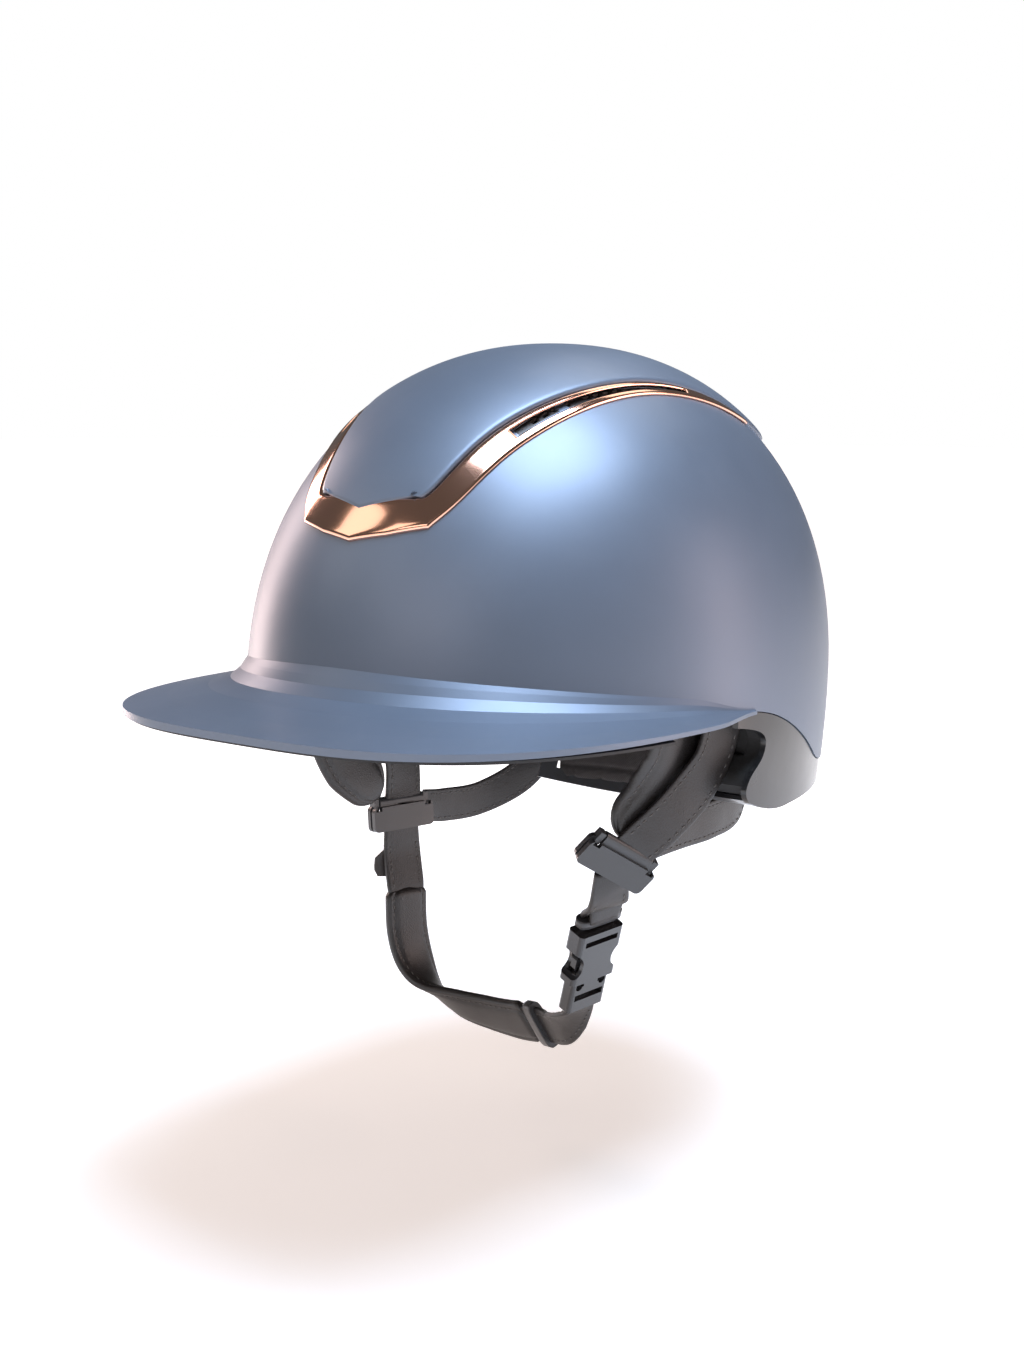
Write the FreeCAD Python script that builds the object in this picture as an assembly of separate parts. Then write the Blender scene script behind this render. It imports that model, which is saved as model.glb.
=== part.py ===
import FreeCAD, Part
import math
import os

# Riding helmet, in millimetres. +Z is up, the peak points to -Y, the wearer's left is +X.
# The origin is the centre of the head opening, level with the shell's edge above the ear.

V = FreeCAD.Vector
UP = V(0, 0, 1)

# ---- driving dimensions: shell ----
SHELL_WIDTH = 226.4
SHELL_LENGTH = 281.2
SHELL_HEIGHT = 137.6
SHELL_CENTRE_Y = 6.7
SHELL_WIDEST_Z = 1.5
SHELL_LEAN = 0.037
SHELL_SQUARENESS = 2.154
SHELL_TUCK = 0.034
TUCK_DEPTH = 60.0
SHELL_WALL = 3.0

# ---- driving dimensions: rim, seen from the side as (y, z) ----
EDGE_Z = 0.0
PEAK_END_Y = -20.0
NAPE_RIM_Z = -33.0
GUARD_DROP = 9.5
GUARD_WALL = 2.4
GUARD_INSET = 0.6
FLANGE_WALL = 1.6
EAR_FRONT_Y = -23.0

# ---- driving dimensions: peak ----
PEAK_HALF_WIDTH = 119.1
PEAK_CENTRE_Y = 5.6
PEAK_REACH = 185.1
PEAK_SQUARENESS = 3.05
PEAK_JOIN_Z = 12.7
PEAK_TIP_Z = 1.6
PEAK_WALL = 2.8
PEAK_LINING_WALL = 1.0

# ---- driving dimensions: trim and top panel ----
CHANNEL_DEPTH = 1.2
SEAM = 0.4
TRIM_PROUD = 0.6
PANEL_PROUD_FRONT = 2.5
PANEL_PROUD_SIDE = 1.5
PANEL_PROUD_TOP = 0.5
PANEL_REAR_Y = 108.0
VENT_WIDTH = 5.0
GRILLE_WALL = 0.8

# ---- driving dimensions: lining ----
CAVITY_WIDTH = 174.0
CAVITY_LENGTH = 216.0
CAVITY_HEIGHT = 108.0
PAD_WALL = 7.0
REST_GAP = 0.4
FIT_GAP = 0.6
PAD_GAP = 0.3

# ---- driving dimensions: fit ring ----
RING_RADIUS = 78.0
RING_TILT = 21.0
RING_CENTRE_Y = 16.0
RING_CENTRE_Z = -22.0
BAND_WALL = 2.0
BAND_HEIGHT = 14.0
PINION_RADIUS = 4.0
PINION_TEETH = 12
DIAL_RADIUS = 12.0
DIAL_WALL = 7.0
SLIDE_GAP = 0.4
PIN_GAP = 0.06

# ---- driving dimensions: harness ----
WEBBING_WIDTH = 20.0
WEBBING_WALL = 2.2
REAR_STRAP_WIDTH = 16.0
LEFT_FLAP_WIDTH = 34.0
RIGHT_FLAP_WIDTH = 33.0
FLAP_WALL = 5.0
SLEEVE_WIDTH = 22.0
BUCKLE_WIDTH = 23.0
BUCKLE_LENGTH = 24.0
BUCKLE_WALL = 9.0
TONGUE_LENGTH = 14.0
DIVIDER_WIDTH = 33.0

HALF_B = SHELL_WIDTH / 2
HALF_A = SHELL_LENGTH / 2


# ---------- shared geometry ----------
def dome(half_width, half_length, height):
    """Closed egg-shaped body whose outside follows the shell's own curve."""
    points = []
    for drop in (70.0, 52.0, 36.0, 20.0, 8.0):
        points.append(V(0, 100 * (1 - SHELL_TUCK * (drop / TUCK_DEPTH) ** 2), -drop))
    power = 2 / SHELL_SQUARENESS
    for step in range(0, 91, 6):
        angle = math.radians(step)
        side = 100 * max(math.cos(angle), 0.0) ** power
        points.append(V(0, side if step < 90 else 0.0, height * math.sin(angle) ** power))
    curve = Part.BSplineCurve()
    curve.interpolate(Points=points, FinalTangent=V(0, -60, 0), InitialTangent=V(0, 0.5, 18))
    base = Part.LineSegment(V(0, 0, -70), points[0])
    axis = Part.LineSegment(points[-1], V(0, 0, -70))
    wire = Part.Wire([base.toShape(), curve.toShape(), axis.toShape()])
    body = Part.Face(wire).revolve(V(0, 0, 0), UP, 360)
    matrix = FreeCAD.Matrix(half_width / 100, 0, 0, 0,
                            0, half_length / 100, SHELL_LEAN, SHELL_CENTRE_Y,
                            0, 0, 1, SHELL_WIDEST_Z,
                            0, 0, 0, 1)
    return body.transformGeometry(matrix)


def shell_dome(depth):
    """The dome that lies this deep under the shell's outside."""
    return dome(HALF_B - depth, HALF_A - depth, SHELL_HEIGHT - depth)


def cavity_dome(depth):
    """The dome that lies this far inside the liner's inner face."""
    return dome(CAVITY_WIDTH / 2 - depth, CAVITY_LENGTH / 2 - depth, CAVITY_HEIGHT - depth)


def wire_of(runs):
    """Closed wire from runs of points: two points make a line, more make a smooth curve."""
    edges = []
    for run in runs:
        if len(run) == 2:
            edges.append(Part.LineSegment(run[0], run[1]).toShape())
        else:
            curve = Part.BSplineCurve()
            curve.interpolate(run)
            edges.append(curve.toShape())
    return Part.Wire(edges)


def side_prism(runs, half=200.0):
    """Body whose side view is the outline of (y, z) points."""
    face = Part.Face(wire_of([[V(-half, y, z) for y, z in run] for run in runs]))
    return face.extrude(V(2 * half, 0, 0))


def plan_prism(runs, low=-100.0, high=200.0):
    """Body whose plan view is the outline of (x, y) points."""
    face = Part.Face(wire_of([[V(x, y, low) for x, y in run] for run in runs]))
    return face.extrude(V(0, 0, high - low))


def block(low, high):
    return Part.makeBox(high[0] - low[0], high[1] - low[1], high[2] - low[2], V(*low))


def mirrored(shape):
    return shape.mirror(V(0, 0, 0), V(1, 0, 0))


def unit(vector):
    return FreeCAD.Vector(vector).normalize()


def placed(shape, origin, width_dir, up_dir):
    """Carry a shape from its own axes to the world: X to width_dir, Y to up_dir."""
    x_axis = unit(width_dir)
    z_axis = unit(x_axis.cross(up_dir))
    y_axis = z_axis.cross(x_axis)
    matrix = FreeCAD.Matrix(x_axis.x, y_axis.x, z_axis.x, origin.x,
                            x_axis.y, y_axis.y, z_axis.y, origin.y,
                            x_axis.z, y_axis.z, z_axis.z, origin.z,
                            0, 0, 0, 1)
    moved = shape.copy()
    moved.Placement = FreeCAD.Placement(matrix)
    return moved


def strip(stations, width, wall, pieces=12):
    """Flat band along (point, width direction, share of the width) stations."""
    curve = Part.BSplineCurve()
    curve.interpolate([V(*station[0]) for station in stations])
    marks = [curve.parameter(V(*station[0])) for station in stations]
    first, last = curve.FirstParameter, curve.LastParameter
    sections = []
    for step in range(pieces + 1):
        at = first + (last - first) * step / pieces
        index = 0
        while index < len(marks) - 2 and at > marks[index + 1]:
            index += 1
        share = (at - marks[index]) / (marks[index + 1] - marks[index])
        here, there = stations[index], stations[index + 1]
        point = curve.value(at)
        along = curve.tangent(at)[0]
        rough = V(*here[1]) * (1 - share) + V(*there[1]) * share
        across = unit(rough - along * rough.dot(along))
        normal = along.cross(across)
        half = across * (width / 2 * (here[2] * (1 - share) + there[2] * share))
        deep = normal * (wall / 2)
        corners = [point - half - deep, point + half - deep, point + half + deep, point - half + deep]
        sections.append(Part.makePolygon(corners + corners[:1]))
    return Part.makeLoft(sections, True, True)


def largest(shape):
    return max(shape.Solids, key=lambda solid: solid.Volume)


PARTS = {}


def keep(name, shape):
    PARTS[name] = shape


# ---------- side-view outlines ----------
RIM_CURVE = [(PEAK_END_Y, EDGE_Z), (5, EDGE_Z - 4.6), (24, EDGE_Z - 13), (39, EDGE_Z - 21.5),
             (52, EDGE_Z - 28.6), (72, NAPE_RIM_Z + 0.6), (95, NAPE_RIM_Z)]
GUARD_LOW_Z = NAPE_RIM_Z - GUARD_DROP
NOTCH_CURVE = [(EAR_FRONT_Y, EDGE_Z - 6), (-12, EDGE_Z - 8), (-4.4, EDGE_Z - 13), (-5.8, EDGE_Z - 19),
               (-12, EDGE_Z - 25), (-15.5, EDGE_Z - 31), (-12, EDGE_Z - 37)]


def above_rim(raise_by):
    """Everything above the shell's lower edge, moved up by raise_by."""
    curve = [(y, z + raise_by) for y, z in RIM_CURVE]
    low = EDGE_Z + raise_by
    return side_prism([[(-250, low), curve[0]], curve, [curve[-1], (250, curve[-1][1])],
                       [(250, curve[-1][1]), (250, 220)], [(250, 220), (-250, 220)],
                       [(-250, 220), (-250, low)]])


def liner_zone():
    """Side view of the foam behind the ear: it stands back from the guard's edge all round."""
    back = FLANGE_WALL + FIT_GAP
    notch = [(y + back, z + 0.6) for y, z in NOTCH_CURVE[:-1]]
    floor = GUARD_LOW_Z + 0.2 + FLANGE_WALL + FIT_GAP
    lobe = [(notch[-1][0] + 2.6, floor + 6.0), (0, floor + 2.2), (20, floor)]
    return side_prism([[(notch[0][0], 220), notch[0]], notch, [notch[-1], lobe[0]], lobe,
                       [lobe[-1], (250, floor)], [(250, floor), (250, 220)],
                       [(250, 220), (notch[0][0], 220)]])


# ---------- shell ----------
def peak_station(angle):
    """Wall point, outward direction and reach of the peak at one angle round the shell."""
    x = HALF_B * math.cos(angle)
    y = HALF_A * math.sin(angle)
    out = V(math.cos(angle) / HALF_B, math.sin(angle) / HALF_A, 0).normalize()
    wall = V(x, y + SHELL_CENTRE_Y - SHELL_LEAN * SHELL_WIDEST_Z, 0)
    near, far = 0.0, 120.0
    for _ in range(40):
        reach = (near + far) / 2
        tip = wall + out * reach
        size = abs(tip.x / PEAK_HALF_WIDTH) ** PEAK_SQUARENESS
        size += abs((tip.y - PEAK_CENTRE_Y) / PEAK_REACH) ** PEAK_SQUARENESS
        if size < 1:
            near = reach
        else:
            far = reach
    fade = min(1.0, max(0.0, (PEAK_END_Y + 12 - wall.y) / 40))
    fade = fade * fade * (3 - 2 * fade)
    return wall, out, 0.8 + (near - 0.8) * fade, fade


def peak_surfaces():
    """Grids of points for the peak's top and underside, from inside the wall out to the edge."""
    full = PEAK_REACH - PEAK_CENTRE_Y - HALF_A + SHELL_CENTRE_Y
    profile = [(-1.6, 6.0, 13.5), (0.5, 3.0, 10.4), (2.4, 0.0, 6.8), (6.5, -3.6, 3.0),
               (15.0, -6.2, 0.6), (30.0, -8.9, 0.1), (full, 0.0, 0.0)]
    top, under = [], []
    end_angle = math.asin((PEAK_END_Y + 6 - SHELL_CENTRE_Y) / HALF_A)
    count = 28
    for step in range(count + 1):
        angle = end_angle + (-math.pi - 2 * end_angle) * step / count
        wall, out, reach, fade = peak_station(angle)
        scale = reach / full
        join = PEAK_JOIN_Z * abs(math.sin(angle)) * fade + 0.8
        tip = PEAK_TIP_Z * math.sin(angle) ** 2
        thick = 1.3 + (PEAK_WALL - 1.3) * fade
        top_row, under_row = [], []
        for out_by, rise, extra in profile:
            if out_by == full:
                height = tip
            else:
                height = tip + (join + rise * (join - tip) / (PEAK_JOIN_Z - PEAK_TIP_Z) - tip)
            point = wall + out * (out_by * scale)
            depth = thick + extra * (join - tip) / (PEAK_JOIN_Z - PEAK_TIP_Z)
            top_row.append(V(point.x, point.y, height))
            under_row.append(V(point.x, point.y, height - depth))
        top.append(top_row)
        under.append(under_row)
    return top, under


def slab(top, under):
    """Closed body between two grids that share the same plan, ruled from curve to curve."""
    count = len(top[0])
    curves = []
    for grid in (top, under):
        family = []
        for column in range(count):
            curve = Part.BSplineCurve()
            curve.interpolate([row[column] for row in grid])
            family.append(curve.toShape())
        curves.append(family)
    upper, lower = curves
    faces = [Part.makeRuledSurface(upper[0], lower[0]), Part.makeRuledSurface(upper[-1], lower[-1])]
    for column in range(count - 1):
        faces.append(Part.makeRuledSurface(upper[column], upper[column + 1]))
        faces.append(Part.makeRuledSurface(lower[column], lower[column + 1]))
        for row in (0, -1):
            high = Part.LineSegment(top[row][column], top[row][column + 1]).toShape()
            low = Part.LineSegment(under[row][column], under[row][column + 1]).toShape()
            faces.append(Part.makeRuledSurface(high, low))
    shell = Part.makeShell(faces)
    shell.sewShape()
    body = Part.makeSolid(shell)
    if body.Volume < 0:
        body.reverse()
    return body


# ---------- trim and panel outlines, plan view, left half ----------
TRIM_OUTER = [(30, -110.1), (37, -100.6), (45.9, -76.7), (56.9, -33.9), (63, 0), (68, 52)]
TRIM_INNER = [(26.5, -102.7), (36.1, -75.8), (48.6, -35.4), (57.6, 6), (66.6, 50)]
TRIM_NOSE = [(0, -118.6), (16.7, -115.6)]
PANEL_NOSE = [(0, -110.3), (20.9, -106.6)]
VENT_LINE = [(40.6, -73), (46.2, -51), (52.4, -26), (57.4, -2), (60.6, 17)]


def swapped(points):
    return [(-x, y) for x, y in reversed(points)]


def trim_outline(gap):
    """The U-shaped trim with its V nose; gap pulls both outer edges in."""
    outer = [(x - gap, y) for x, y in TRIM_OUTER]
    nose = [(0, TRIM_NOSE[0][1] + gap), (TRIM_NOSE[1][0] - gap / 2, TRIM_NOSE[1][1] + gap)]
    inner = [(x, y) for x, y in TRIM_INNER]
    chin = PANEL_NOSE
    return [[nose[0], nose[1]], [nose[1], outer[0]], outer, [outer[-1], inner[-1]],
            list(reversed(inner)), [inner[0], chin[1]], [chin[1], chin[0]],
            [chin[0], swapped(chin)[0]], [swapped(chin)[0], swapped(inner)[-1]],
            list(reversed(swapped(inner))), [swapped(inner)[0], swapped(outer)[0]],
            swapped(outer), [swapped(outer)[-1], swapped(nose)[0]], [swapped(nose)[0], nose[0]]]


def panel_outline(gap):
    """The raised panel inside the U, closed by a round rear edge; gap pulls its edge in."""
    side = [(x - gap, y) for x, y in TRIM_INNER]
    rear = [side[-1], (62 - gap, 76), (45 - gap, 97), (24, PANEL_REAR_Y - 3), (0, PANEL_REAR_Y)]
    nose = [(0, PANEL_NOSE[0][1] + gap), (PANEL_NOSE[1][0] - gap / 2, PANEL_NOSE[1][1] + gap)]
    rear_all = rear + swapped(rear)[1:]
    return [[nose[0], nose[1]], [nose[1], side[0]], side, rear_all,
            swapped(side), [swapped(side)[-1], swapped(nose)[0]], [swapped(nose)[0], nose[0]]]


def vent_slots(width, trim_ends=0.0):
    """Two slots in the left arm of the U, either side of a small bridge."""
    bodies = []
    for first, last in ((0, 1), (1, 4)):
        line = VENT_LINE[first:last + 1]
        left = [(x - width / 2, y) for x, y in line]
        right = [(x + width / 2, y) for x, y in line]
        start = 2.2 if first else trim_ends
        left[0] = (left[0][0] + start * 0.28, left[0][1] + start)
        right[0] = (right[0][0] + start * 0.28, right[0][1] + start)
        stop = trim_ends if last == 4 else 2.2
        left[-1] = (left[-1][0] - stop * 0.28, left[-1][1] - stop)
        right[-1] = (right[-1][0] - stop * 0.28, right[-1][1] - stop)
        bodies.append(plan_prism([left, [left[-1], right[-1]], list(reversed(right)),
                                  [right[0], left[0]]]))
    return bodies[0].fuse(bodies[1])


def make_shell():
    outside = shell_dome(0)
    top, under = peak_surfaces()
    peak = slab(top, under).common(block((-200, -250, EDGE_Z - 1.3), (200, 60, 60)))
    wall = outside.cut(shell_dome(SHELL_WALL)).common(above_rim(0))
    body = wall.fuse(peak.cut(shell_dome(SHELL_WALL * 0.6)))
    skin = shell_dome(-8).cut(shell_dome(CHANNEL_DEPTH))
    channel = skin.common(plan_prism(trim_outline(0), 20).fuse(plan_prism(panel_outline(0), 20)))
    body = body.cut(channel)
    slots = vent_slots(VENT_WIDTH - 1.6, 1.0).common(block((0, -200, 40), (200, 200, 200)))
    body = body.cut(slots).cut(mirrored(slots))
    keep("outer_shell", largest(body))


def make_trim():
    band = shell_dome(-TRIM_PROUD).cut(shell_dome(CHANNEL_DEPTH - 0.1))
    trim = band.common(plan_prism(trim_outline(SEAM), 20))
    trim = trim.cut(plan_prism(panel_outline(0), 20))
    slots = vent_slots(VENT_WIDTH)
    trim = trim.cut(slots).cut(mirrored(slots))
    keep("frame_trim", largest(trim))
    outside = dome(HALF_B + PANEL_PROUD_SIDE, HALF_A + PANEL_PROUD_FRONT, SHELL_HEIGHT + PANEL_PROUD_TOP)
    panel = outside.cut(shell_dome(CHANNEL_DEPTH - 0.1)).common(plan_prism(panel_outline(SEAM), 20))
    keep("top_panel", largest(panel))


def make_grilles():
    layer = shell_dome(CHANNEL_DEPTH + 0.15).cut(shell_dome(CHANNEL_DEPTH + 0.15 + GRILLE_WALL))
    slots = vent_slots(VENT_WIDTH - 2.0, 1.3).common(block((0, -200, 40), (200, 200, 200)))
    gaps = []
    for row in range(-13, 4):
        if row != -9:
            gaps.append(block((20, row * 5.0, 40), (90, row * 5.0 + 3.2, 160)))
    inner = vent_slots(VENT_WIDTH - 3.2, 2.0)
    mesh = layer.common(slots).cut(inner.common(gaps[0].multiFuse(gaps[1:])))
    keep("vent_grille_left", mesh)
    keep("vent_grille_right", mirrored(mesh))


def make_peak_lining():
    """Thin skin under the peak, from clear of the wall to a little inside the edge."""
    high, low = [], []
    for row in peak_surfaces()[1][4:-4]:
        rim = row[5] + (row[6] - row[5]) * 0.88
        line = [row[3], row[4], row[5], rim]
        high.append([V(p.x, p.y, p.z - REST_GAP) for p in line])
        low.append([V(p.x, p.y, p.z - REST_GAP - PEAK_LINING_WALL) for p in line])
    keep("peak_lining", largest(slab(high, low)))


# ---------- lining ----------
def guard_skirt_zone():
    """Side view of the guard's visible skirt, from the shell's edge to its low rear edge."""
    rim = [(y, z - REST_GAP) for y, z in RIM_CURVE]
    front = (EAR_FRONT_Y, EDGE_Z - REST_GAP)
    lobe = [(20, GUARD_LOW_Z), (0, GUARD_LOW_Z + 1.6), NOTCH_CURVE[-1]]
    return side_prism([[front, rim[0]], rim, [rim[-1], (250, rim[-1][1])],
                       [(250, rim[-1][1]), (250, GUARD_LOW_Z)], [(250, GUARD_LOW_Z), lobe[0]], lobe,
                       list(reversed(NOTCH_CURVE)), [NOTCH_CURVE[0], front]])


def guard_flange_zone():
    """Side view of the turned-in lower edge that closes the liner from below."""
    tip = (NOTCH_CURVE[-1][0] + 0.8, NOTCH_CURVE[-1][1] + 0.6)
    base = GUARD_LOW_Z + 0.2
    low = [(20, base), (0, base + 1.6), tip]
    high = [(tip[0] + 0.6, tip[1] + FLANGE_WALL), (0, base + 1.6 + FLANGE_WALL),
            (20, base + FLANGE_WALL)]
    return side_prism([low, [tip, high[0]], high, [high[-1], (250, high[-1][1])],
                       [(250, high[-1][1]), (250, base)], [(250, base), low[0]]])


def make_guard():
    skirt = shell_dome(GUARD_INSET).cut(shell_dome(GUARD_INSET + GUARD_WALL))
    keep("nape_guard", largest(skirt.common(guard_skirt_zone())))
    flange = shell_dome(GUARD_INSET + GUARD_WALL + FIT_GAP).cut(cavity_dome(0))
    keep("liner_edge_trim", largest(flange.common(guard_flange_zone())))


def make_liner():
    outside = shell_dome(SHELL_WALL + FIT_GAP)
    foam = outside.cut(cavity_dome(0))
    front = block((-200, -250, EDGE_Z + 1.5), (200, EAR_FRONT_Y + FLANGE_WALL + 2.0, 220))
    foam = foam.common(liner_zone().fuse(front))
    slots = vent_slots(VENT_WIDTH - 1.0, 4.0).common(block((0, -200, 40), (200, 200, 200)))
    foam = foam.cut(slots).cut(mirrored(slots))
    for pocket in strap_pockets():
        foam = foam.cut(pocket)
    keep("impact_liner", largest(foam))


def pad_shell(near, far):
    return cavity_dome(near).cut(cavity_dome(far))


def make_pads():
    layer = pad_shell(PAD_GAP, PAD_WALL + PAD_GAP)
    brow = layer.common(block((-66, -250, 3), (66, -34, 38)))
    keep("brow_pad", largest(brow))
    side = layer.common(block((40, -26, 4), (200, 62, 40)))
    keep("side_pad_left", largest(side))
    keep("side_pad_right", mirrored(largest(side)))
    disc = Part.makeCylinder(58, 80, V(0, 4, 66)).cut(Part.makeCylinder(17, 200, V(0, 4, 40)))
    stretch = FreeCAD.Matrix(0.86, 0, 0, 0, 0, 1.15, 0, 0, 0, 0, 1, 0, 0, 0, 0, 1)
    crown = layer.common(disc.transformGeometry(stretch))
    for sign in (-1, 1):
        crown = crown.cut(block((min(0, sign * 90), -3, 60), (max(0, sign * 90), 9, 150)))
    ring = pad_shell(PAD_GAP, PAD_WALL + PAD_GAP).common(Part.makeCylinder(22, 200, V(0, 4, 40)))
    crown = crown.fuse(ring.cut(Part.makeCylinder(16.9, 200, V(0, 4, 40))))
    keep("crown_pad", crown)


# ---------- fit ring ----------
RING_CENTRE = V(0, RING_CENTRE_Y, RING_CENTRE_Z)
HOUSING_SPAN = 24.0
CRADLE_SPAN = 38.0
TOOTH_ANGLE = 360.0 / PINION_TEETH * PINION_RADIUS / RING_RADIUS


def tilted(shape):
    """Put a shape that is drawn flat round the ring's centre into its tilted place."""
    moved = shape.copy()
    moved.rotate(V(0, 0, 0), V(1, 0, 0), -RING_TILT)
    moved.translate(RING_CENTRE)
    return moved


def arc_wall(inner, outer, low, high, start, stop):
    """Part of a tube: radii, heights and the angles it spans, in degrees."""
    face = Part.Face(Part.makePolygon([V(inner, 0, low), V(outer, 0, low), V(outer, 0, high),
                                       V(inner, 0, high), V(inner, 0, low)]))
    wall = face.revolve(V(0, 0, 0), UP, stop - start)
    wall.rotate(V(0, 0, 0), UP, start)
    return wall


def rack_teeth(inner, outer, side, start, stop):
    """Teeth that hang from a rack; side is +1 for the upper rack, -1 for the lower."""
    teeth = []
    count = int((stop - start) / TOOTH_ANGLE)
    middle = 90.0
    first = -int((middle - start) / TOOTH_ANGLE)
    for index in range(first, first + count):
        centre = middle + (index + 0.5) * TOOTH_ANGLE
        if centre < start + TOOTH_ANGLE or centre > stop - TOOTH_ANGLE:
            continue
        half = 0.17 * TOOTH_ANGLE
        low, high = side * (PINION_RADIUS - 0.7), side * (PINION_RADIUS + 1.2)
        teeth.append(arc_wall(inner, outer, min(low, high), max(low, high),
                              centre - half, centre + half))
    return teeth


def make_band(side):
    """Left band at side +1: a long strap and a thin rack that passes over the pinion."""
    inner = RING_RADIUS - BAND_WALL / 2
    outer = RING_RADIUS + BAND_WALL / 2
    half = BAND_HEIGHT / 2
    strap = arc_wall(inner, outer, -half, half, -22, 58)
    low, high = PINION_RADIUS + 1.0, half
    rack = arc_wall(inner, outer, low, high, 58, 101)
    body = strap.fuse([rack] + rack_teeth(inner, outer, 1, 72, 101))
    for angle in (-14, -4, 12, 24, 36, 48):
        slot = arc_wall(inner - 1, outer + 1, -2.2, 2.2, angle - 2.6, angle + 2.6)
        body = body.cut(slot)
    if side < 0:
        body.rotate(V(0, 0, 0), V(0, 1, 0), 180)
    return tilted(body.removeSplitter())


def make_pinion():
    """Pinion with its two journals and the square end that drives the dial."""
    tooth = math.radians(360.0 / PINION_TEETH)
    root, tip = PINION_RADIUS - 1.0, PINION_RADIUS + 0.7
    points = []
    for index in range(PINION_TEETH):
        centre = math.pi / 2 + index * tooth
        for radius, share in ((root, -0.22), (tip, -0.10), (tip, 0.10), (root, 0.22)):
            angle = centre + share * tooth
            points.append(V(radius * math.cos(angle), 0, radius * math.sin(angle)))
    face = Part.Face(Part.makePolygon(points + points[:1]))
    inner = RING_RADIUS - BAND_WALL / 2 + 0.1
    outer = RING_RADIUS + BAND_WALL / 2 + 0.1
    gear = face.extrude(V(0, outer - inner, 0))
    gear.translate(V(0, inner, 0))
    rear = Part.makeCylinder(2.0, inner - CRADLE_INNER - 0.6, V(0, CRADLE_INNER + 0.6, 0), V(0, 1, 0))
    shaft = Part.makeCylinder(2.8, DIAL_FRONT - outer, V(0, outer, 0), V(0, 1, 0))
    end = block((-1.7, DIAL_FRONT, -1.7), (1.7, DIAL_FRONT + DIAL_WALL - 3, 1.7))
    return gear.fuse([rear, shaft, end]).cut(
        Part.makeCylinder(0.8, 8, V(0, DIAL_FRONT + DIAL_WALL - 10, 0), V(0, 1, 0)))


CRADLE_INNER = RING_RADIUS - BAND_WALL / 2 - SLIDE_GAP - 2.6
CRADLE_OUTER = RING_RADIUS - BAND_WALL / 2 - SLIDE_GAP
COVER_INNER = RING_RADIUS + BAND_WALL / 2 + SLIDE_GAP
COVER_OUTER = COVER_INNER + 1.8
DIAL_FRONT = COVER_OUTER + 0.6


def make_cradle():
    plate = arc_wall(CRADLE_INNER, CRADLE_OUTER, -17, 17, 90 - CRADLE_SPAN, 90 + CRADLE_SPAN)
    for sign in (-1, 1):
        middle = 90 + sign * 25
        window = arc_wall(CRADLE_INNER - 1, CRADLE_OUTER + 1, -11, -3, middle - 7, middle + 7)
        upper = arc_wall(CRADLE_INNER - 1, CRADLE_OUTER + 1, 4, 12, middle - 7, middle + 7)
        plate = plate.cut(window).cut(upper)
    shelf_in, shelf_out = CRADLE_OUTER - 0.3, COVER_OUTER
    top = BAND_HEIGHT / 2 + SLIDE_GAP
    shelves = []
    for low, high in ((top, top + 1.6), (-top - 1.6, -top)):
        shelves.append(arc_wall(shelf_in, shelf_out, low, high,
                                90 - HOUSING_SPAN, 90 + HOUSING_SPAN))
    plate = plate.fuse(shelves)
    bore = Part.makeCylinder(2.0 + PIN_GAP, 10, V(0, CRADLE_INNER - 2, 0), V(0, 1, 0))
    plate = plate.cut(bore)
    keep("occipital_cradle", tilted(plate.removeSplitter()))
    cover_top = top - 0.05
    cover = arc_wall(COVER_INNER, COVER_OUTER, -cover_top, cover_top,
                     90 - HOUSING_SPAN, 90 + HOUSING_SPAN)
    cover = cover.cut(Part.makeCylinder(2.8 + PIN_GAP, 20, V(0, COVER_INNER - 5, 0), V(0, 1, 0)))
    keep("dial_housing_cover", tilted(cover))
    pad = arc_wall(CRADLE_INNER - 4.3, CRADLE_INNER - PAD_GAP, -14, 14, 90 - 32, 90 + 32)
    keep("nape_pad", tilted(pad))


def make_dial():
    keep("dial_pinion", tilted(make_pinion()))
    knob = Part.makeCylinder(DIAL_RADIUS, DIAL_WALL, V(0, DIAL_FRONT, 0), V(0, 1, 0))
    knob = knob.makeChamfer(1.0, [edge for edge in knob.Edges
                                  if abs(edge.CenterOfMass.y - DIAL_FRONT - DIAL_WALL) < 0.01])
    for index in range(12):
        angle = math.radians(index * 30 + 15)
        x, z = (DIAL_RADIUS + 1.2) * math.cos(angle), (DIAL_RADIUS + 1.2) * math.sin(angle)
        knob = knob.cut(Part.makeCylinder(2.2, DIAL_WALL + 2, V(x, DIAL_FRONT - 1, z), V(0, 1, 0)))
    knob = knob.cut(block((-1.75, DIAL_FRONT - 1, -1.75), (1.75, DIAL_FRONT + DIAL_WALL - 2.9, 1.75)))
    knob = knob.cut(Part.makeCylinder(1.3, 20, V(0, DIAL_FRONT, 0), V(0, 1, 0)))
    knob = knob.cut(Part.makeCylinder(2.8, 2, V(0, DIAL_FRONT + DIAL_WALL - 1.5, 0), V(0, 1, 0)))
    keep("dial_knob", tilted(knob))
    head = Part.makeCylinder(2.5, 1.2, V(0, DIAL_FRONT + DIAL_WALL - 1.5, 0), V(0, 1, 0))
    shank = Part.makeCylinder(0.8, 6, V(0, DIAL_FRONT + DIAL_WALL - 7.5, 0), V(0, 1, 0))
    cross = block((-1.8, DIAL_FRONT + DIAL_WALL - 0.9, -0.3), (1.8, DIAL_FRONT + DIAL_WALL, 0.3))
    keep("dial_screw", tilted(head.fuse(shank).cut(cross)))


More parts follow.
